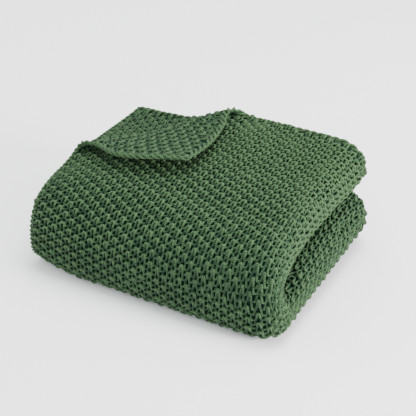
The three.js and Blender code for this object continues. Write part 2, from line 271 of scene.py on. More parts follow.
def bend_stack(point):
    """Swells the top, rounds the left end, dents the lower right fold and bends the back edge."""
    x, y, z = point[..., 0], point[..., 1], point[..., 2]
    crown = bell(y - SWELL["y"], SWELL["length"]) * smooth((x + HALF) / SWELL["start"])
    high = z + SWELL["rise"] * crown * (z / SWELL["height"]) ** 2
    u = clamp((-HALF + END["length"] - x) / END["length"])
    rounded = u ** END["power"]
    front = smooth((-END["front_start"] - y) / END["front_length"])
    shrink = END["shrink"] * rounded * mix(END["shrink_back"], 1, front)
    inward = END["inward"] * rounded * clamp((-y - END["inward_start"]) / END["inward_length"])
    upper = (z / BACK_CORNER["height"]) ** 2
    near_x, near_y = (x + HALF) / BACK_CORNER["reach_x"], (y - BACK) / BACK_CORNER["reach_y"]
    ear = upper * np.exp(-near_x ** 2 - near_y ** 2)
    at_back = smooth((y - BACK_DIP["start"]) / BACK_DIP["length"])
    dip = upper * bell(x - BACK_DIP["x"], BACK_DIP["reach"]) * at_back
    at_back = smooth((y - TURN_END["start"]) / TURN_END["length"])
    push = upper * bell(x - TURN_END["x"], TURN_END["reach"]) * at_back
    return np.stack([
        x - END["outward"] * u * u * front - lobe_dents(x, y, z) + BACK_CORNER["right"] * ear
        + TURN_END["right"] * push,
        y + inward + BACK_CORNER["back"] * ear,
        high * (1 - shrink) + BACK_CORNER["up"] * ear - BACK_DIP["depth"] * dip,
    ], -1)


def cloth_point(p, v):
    """Middle of the cloth at p and v, in millimetres from the fold's own origin."""
    p, v = np.broadcast_arrays(np.asarray(p, float), np.asarray(v, float))
    a = clamp((v - (1 - V_FOLD)) / (2 * V_FOLD)) * np.pi
    side = np.where(v <= 1 - V_FOLD, 1.0, np.where(v >= 1 + V_FOLD, -1.0, np.cos(a)))
    out = np.where((v > 1 - V_FOLD) & (v < 1 + V_FOLD), FOLD_REACH * np.sin(a), 0.0)
    w = np.where(v <= 1 - V_FOLD, v / (1 - V_FOLD), np.where(v >= 1 + V_FOLD, (2 - v) / (1 - V_FOLD), 1.0))
    x, level = width_point(p, side, w)
    inner_y, inner_z = inner_line(w)
    outer_y, outer_z = outer_line(w, x)
    point = np.stack([x, mix(inner_y, outer_y, level) + out, mix(inner_z, outer_z, level)], -1)
    point = turn_corner(point, p, w, side)
    point[..., 2] *= 1 - sag_share(point[..., 0], point[..., 1])
    return bend_stack(point)


def cloth_normal(p, v):
    p, v = np.broadcast_arrays(np.asarray(p, float), np.asarray(v, float))
    a = cloth_point(np.minimum(p + SLOPE_P, P_END), v) - cloth_point(np.maximum(p - SLOPE_P, 0), v)
    b = cloth_point(p, np.minimum(v + SLOPE_V, 2)) - cloth_point(p, np.maximum(v - SLOPE_V, 0))
    n = np.cross(b, a)
    return n / np.maximum(np.linalg.norm(n, axis=-1, keepdims=True), 1e-9)


def half_thickness(point, p):
    t = clamp((p - P_TUCK) / TUCK["path"])
    pinched = 1 - TUCK["pinch"] * np.sin(np.pi * t)
    squeeze = pinched * (1 - SAG["thins"] * sag_share(point[..., 0], point[..., 1]))
    at_end = clamp((-HALF + END["length"] - point[..., 0]) / END["length"]) ** END["power"]
    return thickness(point[..., 1]) / 2 * squeeze * (1 - END["thin"] * at_end)


def spans(*parts):
    """Places along stretches, each given as its start, its end and its number of steps."""
    line = [parts[0][0]]
    for start, end, steps in parts:
        line += [mix(start, end, (i + 1) / steps) for i in range(steps)]
    return np.array(line)


def frame_shift():
    """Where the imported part's box puts the fold's own origin, in millimetres."""
    p = spans((0, CORNER["back"], 16), (CORNER["back"], P_LOBE, 3), (P_LOBE, P_UNDER, 9),
              (P_UNDER, P_TUCK, 6), (P_TUCK, P_LOOSE, 6), (P_LOOSE, P_END, 4))
    v = spans((0, V_CORNER, 16), (V_CORNER, V_TOP, 1), (V_TOP, V_LOW, 14), (V_LOW, 1 - V_FOLD, 4),
              (1 - V_FOLD, 1 + V_FOLD, 5), (1 + V_FOLD, 2 - V_LOW, 4), (2 - V_LOW, 2 - V_TOP, 12),
              (2 - V_TOP, 2, 5))
    p, v = np.meshgrid(p, v, indexing="ij")
    middle, normal = cloth_point(p, v), cloth_normal(p, v)
    half = half_thickness(middle, p)[..., None]
    both = np.concatenate([(middle + normal * half).reshape(-1, 3), (middle - normal * half).reshape(-1, 3)])
    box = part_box("throw")
    low, high = np.array(box[0]) / MM, np.array(box[1]) / MM
    shift = (low + high) / 2 - (both.min(0) + both.max(0)) / 2
    shift[2] = 0.0
    return shift


SHIFT = frame_shift()

# Length s along the cloth from the top back end, measured on the layers themselves at one p
MEASURED_P = 320.0
V_TABLE = np.linspace(0, 2, 4001)


def run_lengths(line):
    """Length from the start of a line of points to each of them."""
    return np.concatenate([[0], np.cumsum(np.linalg.norm(np.diff(line, axis=0), axis=1))])


S_TABLE = run_lengths(cloth_point(MEASURED_P, V_TABLE))
S_END = S_TABLE[-1]


def s_of(v):
    return np.interp(v, V_TABLE, S_TABLE)


def v_of(s):
    return np.interp(s, S_TABLE, V_TABLE)


# Meshes

def make_mesh(name, verts, quads, uvs, tone=None):
    """Joined mesh from arrays: verts in millimetres, quads as index rows (a repeated last index makes
    a triangle), uvs per face corner, and a tone per vertex."""
    mesh = bpy.data.meshes.new(name)
    verts = (np.asarray(verts) + SHIFT) * MM
    verts[:, 2] = np.maximum(verts[:, 2], 0.0)
    quads = np.asarray(quads, dtype=np.int32)
    three = quads[:, 2] == quads[:, 3]
    sizes = np.where(three, 3, 4).astype(np.int32)
    keep = np.ones(quads.shape, bool)
    keep[three, 3] = False
    loops = quads[keep]
    starts = np.concatenate([[0], np.cumsum(sizes)[:-1]]).astype(np.int32)
    mesh.vertices.add(len(verts))
    mesh.vertices.foreach_set("co", verts.astype(np.float32).ravel())
    mesh.loops.add(len(loops))
    mesh.loops.foreach_set("vertex_index", loops)
    mesh.polygons.add(len(quads))
    mesh.polygons.foreach_set("loop_start", starts)
    mesh.polygons.foreach_set("loop_total", sizes)
    mesh.polygons.foreach_set("use_smooth", np.ones(len(quads), bool))
    layer = mesh.uv_layers.new(name="UVMap")
    layer.data.foreach_set("uv", np.asarray(uvs, dtype=np.float32)[keep].ravel())
    if tone is not None:
        attribute = mesh.attributes.new("tone", "FLOAT", "POINT")
        attribute.data.foreach_set("value", np.asarray(tone, dtype=np.float32))
    mesh.update(calc_edges=True)
    mesh.validate()
    obj = bpy.data.objects.new(name, mesh)
    bpy.context.scene.collection.objects.link(obj)
    return obj


def unit(vectors):
    return vectors / np.maximum(np.linalg.norm(vectors, axis=1, keepdims=True), 1e-9)


class Tubes:
    """Round yarns swept along paths, all with closed ends, gathered for one joined mesh."""

    # Painted light on a yarn's outer side and painted shade on its inner side, as tone above and below its
    # middle, and its UV map's length for a millimetre
    OUTER_PAINTED_LIGHT = 0.12
    UV_LENGTH = 0.1

    def __init__(self, sides):
        self.sides = sides
        self.verts, self.quads, self.uvs, self.tone = [], [], [], []
        self.count = 0

    def add(self, path, normal, radius, tone):
        k, n = self.sides, len(path)
        tangent = unit(np.gradient(path, axis=0))
        across = unit(np.cross(tangent, normal))
        up = np.cross(across, tangent)
        angle = np.arange(k) / k * 2 * np.pi
        ring = across[:, None] * np.cos(angle)[None, :, None] + up[:, None] * np.sin(angle)[None, :, None]
        body = path[:, None] + ring * np.broadcast_to(radius, n)[:, None, None]
        self.verts.append(np.concatenate([body.reshape(-1, 3), path[[0, -1]]]))
        self.quads.append(self.faces(n) + self.count)
        self.uvs.append(self.face_uvs(run_lengths(path)))
        tone = np.broadcast_to(tone, n)
        # Painted light on the side that faces out of the cloth, painted shade on the side that faces in
        outer = self.OUTER_PAINTED_LIGHT * np.sin(angle)[None, :]
        self.tone.append(np.concatenate([(tone[:, None] + outer).ravel(), tone[[0, -1]]]))
        self.count += n * k + 2

    def faces(self, n):
        """Faces of a tube of n rings, with a fan of triangles at both ends."""
        k = self.sides
        i, j = np.meshgrid(np.arange(n - 1), np.arange(k), indexing="ij")
        beside = (j + 1) % k
        wall = [i * k + j, (i + 1) * k + j, (i + 1) * k + beside, i * k + beside]
        j = np.arange(k)
        beside = (j + 1) % k
        start, end = np.full(k, n * k), np.full(k, n * k + 1)
        first = np.stack([j, beside, start, start], -1)
        last = np.stack([(n - 1) * k + beside, (n - 1) * k + j, end, end], -1)
        return np.concatenate([np.stack(wall, -1).reshape(-1, 4), first, last])

    def face_uvs(self, length):
        """UV places of the same faces: along the yarn and round it."""
        k = self.sides
        i, j = np.meshgrid(np.arange(len(length) - 1), np.arange(k), indexing="ij")
        u0, u1 = length[i], length[i + 1]
        v0, v1 = j / k, (j + 1) / k
        wall = np.stack([u0, v0, u1, v0, u1, v1, u0, v1], -1).reshape(-1, 4, 2)
        ends = np.zeros((2 * k, 4, 2))
        ends[k:, :, 0] = length[-1]
        return np.concatenate([wall, ends])

    def mesh(self, name):
        uvs = np.concatenate(self.uvs) * np.array([self.UV_LENGTH, 1.0])
        return make_mesh(name, np.concatenate(self.verts), np.concatenate(self.quads), uvs,
                         clamp(np.concatenate(self.tone)))


# The knit's own lattice: stitch and row numbers as smooth fields over the cloth. Each term is the
# power of p and the power of s, both in the field's own units, and its weight. Outside the measured
# stretch the lattice goes on evenly, with more stitches round the lower right fold
STITCH_TERMS = ((1, 0, 33.2), (0, 1, 3.1), (2, 0, 1.42), (1, 1, -1.97), (0, 2, -0.36))
ROW_TERMS = ((1, 0, -6.93), (0, 1, 49.86), (2, 0, 7.63), (1, 1, 38.39), (0, 2, -5.82), (2, 1, -3.23),
             (1, 2, -31.97), (0, 3, 5.65))
FIELD_UNIT_P, FIELD_UNIT_S = 450.0, 400.0
FIELD_P, FIELD_S = 425.0, (20.0, 385.0)
LOWER_FOLD = dict(more=0.5, start=290.0, length=130.0)
ROW_SLANT = 0.1
PLACE_STEPS, LEAST_RATE = 9, 0.05


def field(terms, p, s):
    x, y = np.clip(p, 0.0, FIELD_P) / FIELD_UNIT_P, np.clip(s, *FIELD_S) / FIELD_UNIT_S
    return sum(weight * x ** m * y ** n for m, n, weight in terms)


def lattice_numbers(knit, p, s):
    """Stitch number and row number at a place of the cloth."""
    c, r = knit.stitch_width / MM, knit.row_height / MM
    right = p - np.clip(p, 0.0, FIELD_P)
    below = s - np.clip(s, *FIELD_S)
    low = smooth((s - LOWER_FOLD["start"]) / LOWER_FOLD["length"])
    more = LOWER_FOLD["more"] * np.clip(right, 0.0, P_UNDER - FIELD_P) * low
    return (field(STITCH_TERMS, p, s) + (right + more) / c,
            field(ROW_TERMS, p, s) + below / r + ROW_SLANT * right / r)


def lattice_place(knit, u, w):
    """Place of the cloth with stitch number u and row number w, found step by step."""
    c, r = knit.stitch_width / MM, knit.row_height / MM
    u, w = np.broadcast_arrays(np.asarray(u, float), np.asarray(w, float))
    p, s = u * c, w * r
    for _ in range(PLACE_STEPS):
        a, b = lattice_numbers(knit, p, s)
        rate = np.maximum(lattice_numbers(knit, p, s + 1.0)[1] - b, LEAST_RATE)
        p = p + (u - a) * c
        s = s + (w - b) / rate
    return p, s


def turned_over(p, s):
    """True past the line that the top corner is turned over, where the cloth shows its other face."""
    return (past_turn(p, s) > 0.5 * np.pi * CORNER["roll"]) & (s < S_END / 2)


# Seeded unevenness: one field for each thing that varies from stitch to stitch
NOISE_SHAPE, NOISE_LIMIT, NOISE_FIRST_ROW = (7, 140, 300), 2.2, 20
NOISE_WIDTH, NOISE_HEIGHT, NOISE_DEPTH, NOISE_FAT, NOISE_TONE, NOISE_ROW, NOISE_PLACE = range(7)


def stitch_noise(knit):
    """The fields, with one value for each stitch corner."""
    rng = np.random.default_rng(knit.seed)
    return np.clip(rng.normal(0.0, 1.0, NOISE_SHAPE), -NOISE_LIMIT, NOISE_LIMIT)


def noise_at(noise, i, t, j):
    """Value of one field in row j, from the corner of stitch i (t 0) to the next (t 1)."""
    ease = t * t * (3 - 2 * t)
    i = np.clip(i, 0, noise.shape[0] - 2)
    j = np.clip(j + NOISE_FIRST_ROW, 0, noise.shape[1] - 1)
    return noise[i, j] * (1 - ease) + noise[i + 1, j] * ease


# Depth of a loop's path through the cloth in its first, third and fifth wave: its feet lie behind, its
# legs come through and its head stands out, and the leg on the right lies over the one on the left
LOOP_DEPTH = (0.72, -0.60, -0.32)
LEG_OVER = 0.26
HEAD_FLATNESS = 0.10
# The yarn's thickness as a share of its radius, how much fuller a raised head is and a sunk one may be
# thinner, and the yarn's middle tone and its painted shade: lighter as its path stands out of the cloth,
# darker as it sinks
YARN = dict(fat=0.97, head_fat=0.10, behind=-0.4, tone=0.37, painted_shade_range=0.56)
# Rows taller than the start, in millimetres, are stretched. Their loops lie flatter, those that stand out
# close up and those beside them open, and the yarn is fuller, a little darker in the middle and with weaker
# painted shade
STRETCHED = dict(start=7.0, length=4.0, sunk_flatter=0.70, raised_flatter=0.28, closed=0.095,
                 raised_closed=1.3, sunk_closed=-0.4, fat=0.14, head_fat=0.20, tone=0.05, painted_shade_range=0.30)
# The turned corner shows the cloth's other face, whose loops are shorter and flatter, a little lighter in the
# middle and with weaker painted shade
TURNED = dict(height=0.8, depth=0.75, tone=0.41, painted_shade_range=0.28)
# How far stitches vary in width, depth, thickness, tone and place, and how far they lie in or out in
# millimetres
UNEVEN = dict(width=0.16, depth=0.12, out=0.2, fat=0.05, tone=0.07, place=0.6)
# Nearest that a stitch comes to the cloth's own edges
KEEP_P, KEEP_V = 0.5, 0.0005


def loop_lift(t, sign, stretched):
    """How far a loop's path stands out of the cloth, as a share of its depth. sign is 1 for a loop that
    stands out and -1 for one that is sunk."""
    lift = sign * sum(share * np.sin((2 * n + 1) * np.pi * t) for n, share in enumerate(LOOP_DEPTH))
    flatter = np.where(lift < 0, STRETCHED["sunk_flatter"], STRETCHED["raised_flatter"])
    return lift * (1 - flatter * stretched) - LEG_OVER * np.sin(2 * np.pi * t)


def loop_across(knit, t, sign, stretched, wider):
    """Way across a stitch, from 0 to 1: the head is wider than the feet."""
    bulge = mix(knit.loop_bulge, knit.loop_bulge_stretched, stretched)
    share = np.where(sign > 0, STRETCHED["raised_closed"], STRETCHED["sunk_closed"])
    closed = STRETCHED["closed"] * stretched * np.sin(2 * np.pi * t) * share
    return t + (bulge * np.sin(4 * np.pi * t) + closed) * wider


def loop_up(knit, t, row, turned, taller):
    """Way along the cloth from a row's middle, from the feet to the head, in millimetres."""
    tall = row * np.where(turned, TURNED["height"], 1.0) + knit.loop_overlap / MM
    wave = (np.cos(2 * np.pi * t) - HEAD_FLATNESS * np.cos(6 * np.pi * t)) / (1 - HEAD_FLATNESS)
    return -0.5 * tall * wave * (1 + knit.unevenness * taller * np.sin(np.pi * t))


def knit_row(knit, noise, j, first, last, face, heads, segments):
    """Path, normal, radius and tone of row j from stitch first to last. face is 1 or -1 for the side of
    the cloth that shows, heads is 1 where the loops point to the cloth's start and -1 where they point to
    its end."""
    c = knit.stitch_width / MM
    t = np.append(np.tile(np.arange(segments) / segments, last - first), 1.0)
    i = np.append(np.repeat(np.arange(first, last), segments), last - 1)

    def per_stitch(which):
        return noise_at(noise[which], i, t * 0, j)

    def along(which):
        return noise_at(noise[which], i, t, j)

    p0, s0 = lattice_place(knit, i + t, j + 0.5)
    row = np.abs(s0 - lattice_place(knit, i + t, j - 0.5)[1])
    stretched = clamp((row - STRETCHED["start"]) / STRETCHED["length"])
    turned = turned_over(p0, s0)
    sign = np.where((i + j) % 2 == 0, 1.0, -1.0)

    lift = loop_lift(t, sign, stretched)
    across = loop_across(knit, t, sign, stretched, 1 + UNEVEN["width"] * per_stitch(NOISE_WIDTH))
    up = loop_up(knit, t, row, turned, per_stitch(NOISE_HEIGHT))
    drift = along(NOISE_ROW) * knit.unevenness * row
    p, s = lattice_place(knit, i + across, j + 0.5 - heads * (up + drift) / row)
    p = p + along(NOISE_PLACE) * UNEVEN["place"] * knit.unevenness * c
    side = np.where(turned_over(p, s), -face, face)
    p, v = np.clip(p, KEEP_P, P_END - KEEP_P), np.clip(v_of(s), KEEP_V, 2 - KEEP_V)

    base, normal = cloth_point(p, v), cloth_normal(p, v)
    depth = lift * np.where(turned, TURNED["depth"], 1.0) * knit.loop_depth / MM
    depth = depth * (1 + UNEVEN["depth"] * per_stitch(NOISE_DEPTH)) + knit.lift / MM
    path = base + normal * (depth * face + along(NOISE_DEPTH) * UNEVEN["out"])[:, None]

    head = np.clip(np.sin(np.pi * t) ** 2 * sign * side * face, YARN["behind"], 1.0)
    head_fat = YARN["head_fat"] + STRETCHED["head_fat"] * stretched
    fat = YARN["fat"] + STRETCHED["fat"] * stretched + head_fat * head ** 3
    radius = knit.yarn_radius / MM * (fat + UNEVEN["fat"] * along(NOISE_FAT))
    # The tone paints shade by depth: lighter where the yarn stands out on the face that shows, darker where
    # it sinks, plus a share that differs at random from stitch to stitch
    middle = np.where(turned, TURNED["tone"], YARN["tone"] - STRETCHED["tone"] * stretched)
    change = np.where(turned, TURNED["painted_shade_range"], YARN["painted_shade_range"] - STRETCHED["painted_shade_range"] * stretched)
    tone = middle + change * (lift * side * face) + UNEVEN["tone"] * along(NOISE_TONE)
    return path, normal * side[:, None], radius, tone


# How near a selvedge a stitch's middle may lie, how far stitches reach under the bound edge, and how many
# more columns the slant and the lower right fold need than the cloth's width has
SELVEDGE_ROOM, UNDER_EDGE, MORE_COLUMNS = 3.5, 3.0, 9


def runs(on):
    """Start and end of each unbroken run of true values."""
    starts = np.flatnonzero(on & ~np.concatenate([[False], on[:-1]]))
    ends = np.flatnonzero(on & ~np.concatenate([on[1:], [False]])) + 1
    return zip(starts, ends)


def knit_patch(knit, name, shown, face=1, heads=1, segments=12, sides=6):
    """All stitches whose middle lies where shown(p, v, s) is true, as one piece."""
    noise = stitch_noise(knit)
    tubes = Tubes(sides)
    columns = np.arange(int(P_END // (knit.stitch_width / MM)) + MORE_COLUMNS)
    corners = lattice_numbers(knit, np.array([0.0, P_END, 0.0, P_END]), np.array([0.0, 0.0, S_END, S_END]))[1]
    low, high = math.floor(corners.min()) - 1, math.ceil(corners.max()) + 1
    band = knit.edge_band / MM - UNDER_EDGE
    for j in range(low, high):
        p, s = lattice_place(knit, columns + 0.5, j + 0.5)
        room = (p > SELVEDGE_ROOM) & (p < P_END - SELVEDGE_ROOM) & (s > band) & (s < S_END - band)
        for first, last in runs(room & shown(p, v_of(s), s)):
            tubes.add(*knit_row(knit, noise, j, first, last, face, heads, segments))
    return tubes.mesh(name)


# The bound edges at both ends of the cloth and its two selvedges: two strands twisted round each other, in a
# tone near the painted-light end of the yarn's colour
BOUND = dict(start=1.5, inset=4.7, sway=2.7, rise=2.5, radius=2.35, tone=0.80)
SELVEDGE = dict(start=2.0, inset=2.8, sway=2.0, rise=2.4, radius=2.3, tone=0.74)
BOUND_KEEP_V = 0.0004
ROPE_STEP = 1.6


def twist_ropes(tubes, rope, length, width, pitch, place):
    """A rope along each of two opposite edges of the given length, width apart. place gives p and v for
    the way along the edge and the way across the cloth."""
    along = np.arange(rope["start"], length - rope["start"], ROPE_STEP)
    for middle in (rope["inset"], width - rope["inset"]):
        for strand in (0.0, np.pi):
            turn = 2 * np.pi * along / pitch + strand
            p, v = place(along, middle + rope["sway"] * np.cos(turn))
            base, normal = cloth_point(p, v), cloth_normal(p, v)
            path = base + normal * (rope["rise"] * np.sin(turn))[:, None]
            tubes.add(path, normal, rope["radius"], rope["tone"])


# The ground lies inside the cloth, this far from its edges and below the loops that show, and is coloured as
# painted shade
GROUND = dict(inset_p=1.5, inset_v=0.003, down=2.2, half_thickness=0.7)


def ground_verts(p, v):
    """Upper and lower face of the ground, one after the other."""
    inset_p = np.clip(p, GROUND["inset_p"], P_END - GROUND["inset_p"])
    inset_v = np.clip(v, GROUND["inset_v"], 2 - GROUND["inset_v"])
    middle, normal = cloth_point(inset_p, inset_v), cloth_normal(inset_p, inset_v)
    side = np.where(v <= 1 - V_FOLD, 1.0, np.where(v >= 1 + V_FOLD, -1.0, 0.0))
    turned = np.where(v < V_TOP, smooth(past_turn(p, s_of(v)) / (np.pi * CORNER["roll"])), 0.0)
    off = (-GROUND["down"] * side * (1 - 2 * turned))[..., None]
    return np.concatenate([(middle + normal * (off + half)).reshape(-1, 3)
                           for half in (GROUND["half_thickness"], -GROUND["half_thickness"])])


def sheet_quads(n, m):
    """Faces of a closed thin sheet of two grids of n by m points: both faces and the four rims."""

    def at(face, i, j):
        return face * n * m + i * m + j

    i, j = (index.ravel() for index in np.meshgrid(np.arange(n - 1), np.arange(m - 1), indexing="ij"))
    corners = [(at(0, i + 1, j), at(0, i, j), at(0, i, j + 1), at(0, i + 1, j + 1)),
               (at(1, i, j + 1), at(1, i, j), at(1, i + 1, j), at(1, i + 1, j + 1))]
    i, end = np.arange(n - 1), m - 1
    corners += [(at(0, i, 0), at(0, i + 1, 0), at(1, i + 1, 0), at(1, i, 0)),
                (at(0, i + 1, end), at(0, i, end), at(1, i, end), at(1, i + 1, end))]
    j, end = np.arange(m - 1), n - 1
    corners += [(at(0, 0, j + 1), at(0, 0, j), at(1, 0, j), at(1, 0, j + 1)),
                (at(0, end, j), at(0, end, j + 1), at(1, end, j + 1), at(1, end, j))]
    return np.concatenate([np.stack(quad, -1) for quad in corners])


# Materials

# Waves round the yarn, which show two plies each, and their twist, the shares of plies and fuzz in its
# relief, how far fuzz and broad unevenness change its tone at random, and the painted shade in the ply
# grooves
PLIES, TWIST = 1.5, 0.9
PLY_RELIEF, FUZZ_RELIEF = 0.6, 0.7
FUZZ_TONE, BROAD_TONE, GROOVE_PAINTED_SHADE, GROOVE_MIDDLE = 2.2, 0.35, 0.7, 0.6
NOISE_MIDDLE = 0.5
ROUGHNESS, FUZZ_ROUGHNESS = 0.84, 0.12
# The ground's painted shade in the middle of its cells and the darker painted shade between them, as shares
# of the yarn's painted shade colour
CELL_MIDDLE, CELL_EDGE = 1.4, 0.5


def set_inputs(tree, target, inputs):
    """Gives a node's inputs, by name or number, a value or a link to another node's output."""
    for label, value in inputs.items():
        if isinstance(value, bpy.types.NodeSocket):
            tree.links.new(value, target.inputs[label])
        else:
            target.inputs[label].default_value = value


def add_node(tree, kind, inputs=None, **values):
    made = tree.nodes.new(kind)
    for key, value in values.items():
        setattr(made, key, value)
    set_inputs(tree, made, inputs or {})
    return made


def calculate(tree, operation, *values):
    """Output of a math node."""
    return add_node(tree, "ShaderNodeMath", dict(enumerate(values)), operation=operation).outputs[0]


def around(tree, value, middle, amount):
    """How far a value lies from its middle, times an amount."""
    return calculate(tree, "MULTIPLY", calculate(tree, "SUBTRACT", value, middle), amount)


def yarn_group():
    """Plies and fuzz of the yarn from its own UV map, and its colour from the stitch's tone, which carries
    painted shade by depth, with painted shade in the ply grooves.
    """
    group = bpy.data.node_groups.new("yarn plies and fuzz", "ShaderNodeTree")
    for label, kind in (("Dark", "Color"), ("Light", "Color"), ("Plies", "Float"), ("Twist", "Float")):
        group.interface.new_socket(label, in_out="INPUT", socket_type="NodeSocket" + kind)
    for label, kind in (("Color", "Color"), ("Height", "Float"), ("Roughness", "Float")):
        group.interface.new_socket(label, in_out="OUTPUT", socket_type="NodeSocket" + kind)
    given = group.nodes.new("NodeGroupInput").outputs
    uv = add_node(group, "ShaderNodeUVMap", uv_map="UVMap")
    split = add_node(group, "ShaderNodeSeparateXYZ", {0: uv.outputs["UV"]})
    turns = calculate(group, "MULTIPLY", split.outputs["X"], given["Twist"])
    spiral = calculate(group, "ADD", turns, split.outputs["Y"])
    angle = calculate(group, "MULTIPLY", calculate(group, "MULTIPLY", spiral, given["Plies"]), 2 * math.pi)
    ply = calculate(group, "ABSOLUTE", calculate(group, "SINE", angle))
    place = group.nodes.new("ShaderNodeTexCoord").outputs["Object"]
    fuzz = add_node(group, "ShaderNodeTexNoise",
                    {"Vector": place, "Scale": 380.0, "Detail": 3.0, "Roughness": 0.7}).outputs["Fac"]
    broad = add_node(group, "ShaderNodeTexNoise",
                     {"Vector": place, "Scale": 26.0, "Detail": 2.0}).outputs["Fac"]
    height = calculate(group, "ADD", calculate(group, "MULTIPLY", ply, PLY_RELIEF),
                       calculate(group, "MULTIPLY", fuzz, FUZZ_RELIEF))
    tone = add_node(group, "ShaderNodeAttribute", attribute_name="tone").outputs["Fac"]
    near = calculate(group, "ADD", tone, around(group, fuzz, NOISE_MIDDLE, FUZZ_TONE))
    # Painted shade in the grooves between the plies
    far = calculate(group, "ADD", around(group, broad, NOISE_MIDDLE, BROAD_TONE),
                    around(group, ply, GROOVE_MIDDLE, GROOVE_PAINTED_SHADE))
    blend = add_node(group, "ShaderNodeMix", {
        "Factor": calculate(group, "ADD", near, far), "A": given["Dark"], "B": given["Light"],
    }, data_type="RGBA", clamp_factor=True)
    rough = calculate(group, "ADD", calculate(group, "MULTIPLY", fuzz, FUZZ_ROUGHNESS), ROUGHNESS)
    add_node(group, "NodeGroupOutput",
             {"Color": blend.outputs["Result"], "Height": height, "Roughness": rough})
    return group


def material_named(name, build, *given):
    """The material of this name, built by its own function on first use."""
    if name not in bpy.data.materials:
        material = bpy.data.materials.new(name)
        material.use_nodes = True
        build(material.node_tree, material.node_tree.nodes["Principled BSDF"], *given)
    return bpy.data.materials[name]


def green_yarn(tree, shader, colours):
    yarn = add_node(tree, "ShaderNodeGroup", {
        "Dark": (*colours.yarn_painted_shade, 1), "Light": (*colours.yarn_painted_light, 1), "Plies": PLIES, "Twist": TWIST,
    }, node_tree=yarn_group())
    bump = add_node(tree, "ShaderNodeBump",
                    {"Strength": 0.9, "Distance": 1.1 * MM, "Height": yarn.outputs["Height"]})
    set_inputs(tree, shader, {
        "Base Color": yarn.outputs["Color"], "Roughness": yarn.outputs["Roughness"],
        "Normal": bump.outputs["Normal"], "Specular IOR Level": 0.12, "Sheen Weight": 0.10,
        "Sheen Roughness": 0.5, "Sheen Tint": (0.75, 0.85, 0.7, 1)})


def yarn_material(context):
    return material_named("green yarn", green_yarn, context.scene.throw_colours)


def painted_shade_inside_knit(tree, shader, colours):
    """The ground: a very dark sheet in painted shade, seen between the loops and at the ends of the layers,
    darker between its cells.
    """
    middle, edge = ([share * x for x in colours.yarn_painted_shade] for share in (CELL_MIDDLE, CELL_EDGE))
    uv = add_node(tree, "ShaderNodeUVMap", uv_map="UVMap")
    cells = add_node(tree, "ShaderNodeTexVoronoi",
                     {"Vector": uv.outputs["UV"], "Scale": 1.0, "Randomness": 0.35}).outputs["Distance"]
    colour = add_node(tree, "ShaderNodeMix", {"Factor": cells, "A": (*middle, 1), "B": (*edge, 1)},
                      data_type="RGBA")
    bump = add_node(tree, "ShaderNodeBump", {"Strength": 0.8, "Distance": 3 * MM, "Height": cells},
                    invert=True)
    set_inputs(tree, shader, {"Base Color": colour.outputs["Result"], "Normal": bump.outputs["Normal"],
                              "Roughness": 0.95, "Specular IOR Level": 0.1})


def pale_floor(tree, shader):
    set_inputs(tree, shader, {"Base Color": (0.97, 0.97, 0.97, 1), "Roughness": 0.9})


# Settings

class ThrowKnitSettings(bpy.types.PropertyGroup):
    stitch_width: bpy.props.FloatProperty(
        name="Stitch width", description="Width of one stitch", default=13.15 * MM, min=0.004,
        subtype="DISTANCE", unit="LENGTH")
    row_height: bpy.props.FloatProperty(
        name="Row height", description="Height of one row", default=9.3 * MM, min=0.003,
        subtype="DISTANCE", unit="LENGTH")
    loop_overlap: bpy.props.FloatProperty(
        name="Loop overlap", description="How far a loop reaches past its row", default=4.0 * MM, min=0,
        subtype="DISTANCE", unit="LENGTH")
    loop_bulge: bpy.props.FloatProperty(
        name="Loop bulge", description="Share of a stitch by which a loop's head is wider than its feet",
        default=0.19, min=0, max=0.25)
    loop_bulge_stretched: bpy.props.FloatProperty(
        name="Loop bulge, stretched", description="The same where the rows are stretched tall", default=0.02,
        min=-0.1, max=0.2)
    loop_depth: bpy.props.FloatProperty(
        name="Loop depth", description="How far a loop's head stands out from the middle of the cloth",
        default=2.7 * MM, subtype="DISTANCE", unit="LENGTH")
    lift: bpy.props.FloatProperty(
        name="Lift", description="Middle of the yarns above the middle of the layer", default=1.0 * MM,
        subtype="DISTANCE", unit="LENGTH")
    yarn_radius: bpy.props.FloatProperty(
        name="Yarn radius", description="Half the yarn's thickness", default=1.95 * MM, min=0.0005,
        subtype="DISTANCE", unit="LENGTH")
    unevenness: bpy.props.FloatProperty(
        name="Unevenness", description="How far stitches differ from each other, as a share of a row",
        default=0.085, min=0, max=0.3)
    edge_band: bpy.props.FloatProperty(
        name="Edge band", description="Width of the bound edge at both ends of the cloth", default=11.0 * MM,
        subtype="DISTANCE", unit="LENGTH")
    seed: bpy.props.IntProperty(
        name="Seed", description="Seed of the stitches' unevenness", default=11, min=0)


class ThrowColourSettings(bpy.types.PropertyGroup):
    # Lit end of the yarn's colour: painted light, used where the yarn stands out
    yarn_painted_light: bpy.props.FloatVectorProperty(
        name="Yarn, raised", description="Colour of the yarn where it stands out", subtype="COLOR",
        size=3, min=0, max=1, default=(0.047, 0.094, 0.038))
    # Shaded end of the yarn's colour: painted shade, used where the yarn sinks into the knit and for the
    # ground between the loops
    yarn_painted_shade: bpy.props.FloatVectorProperty(
        name="Yarn, deep", description="Colour of the yarn deep in the knit", subtype="COLOR",
        size=3, min=0, max=1, default=(0.003, 0.020, 0.011))


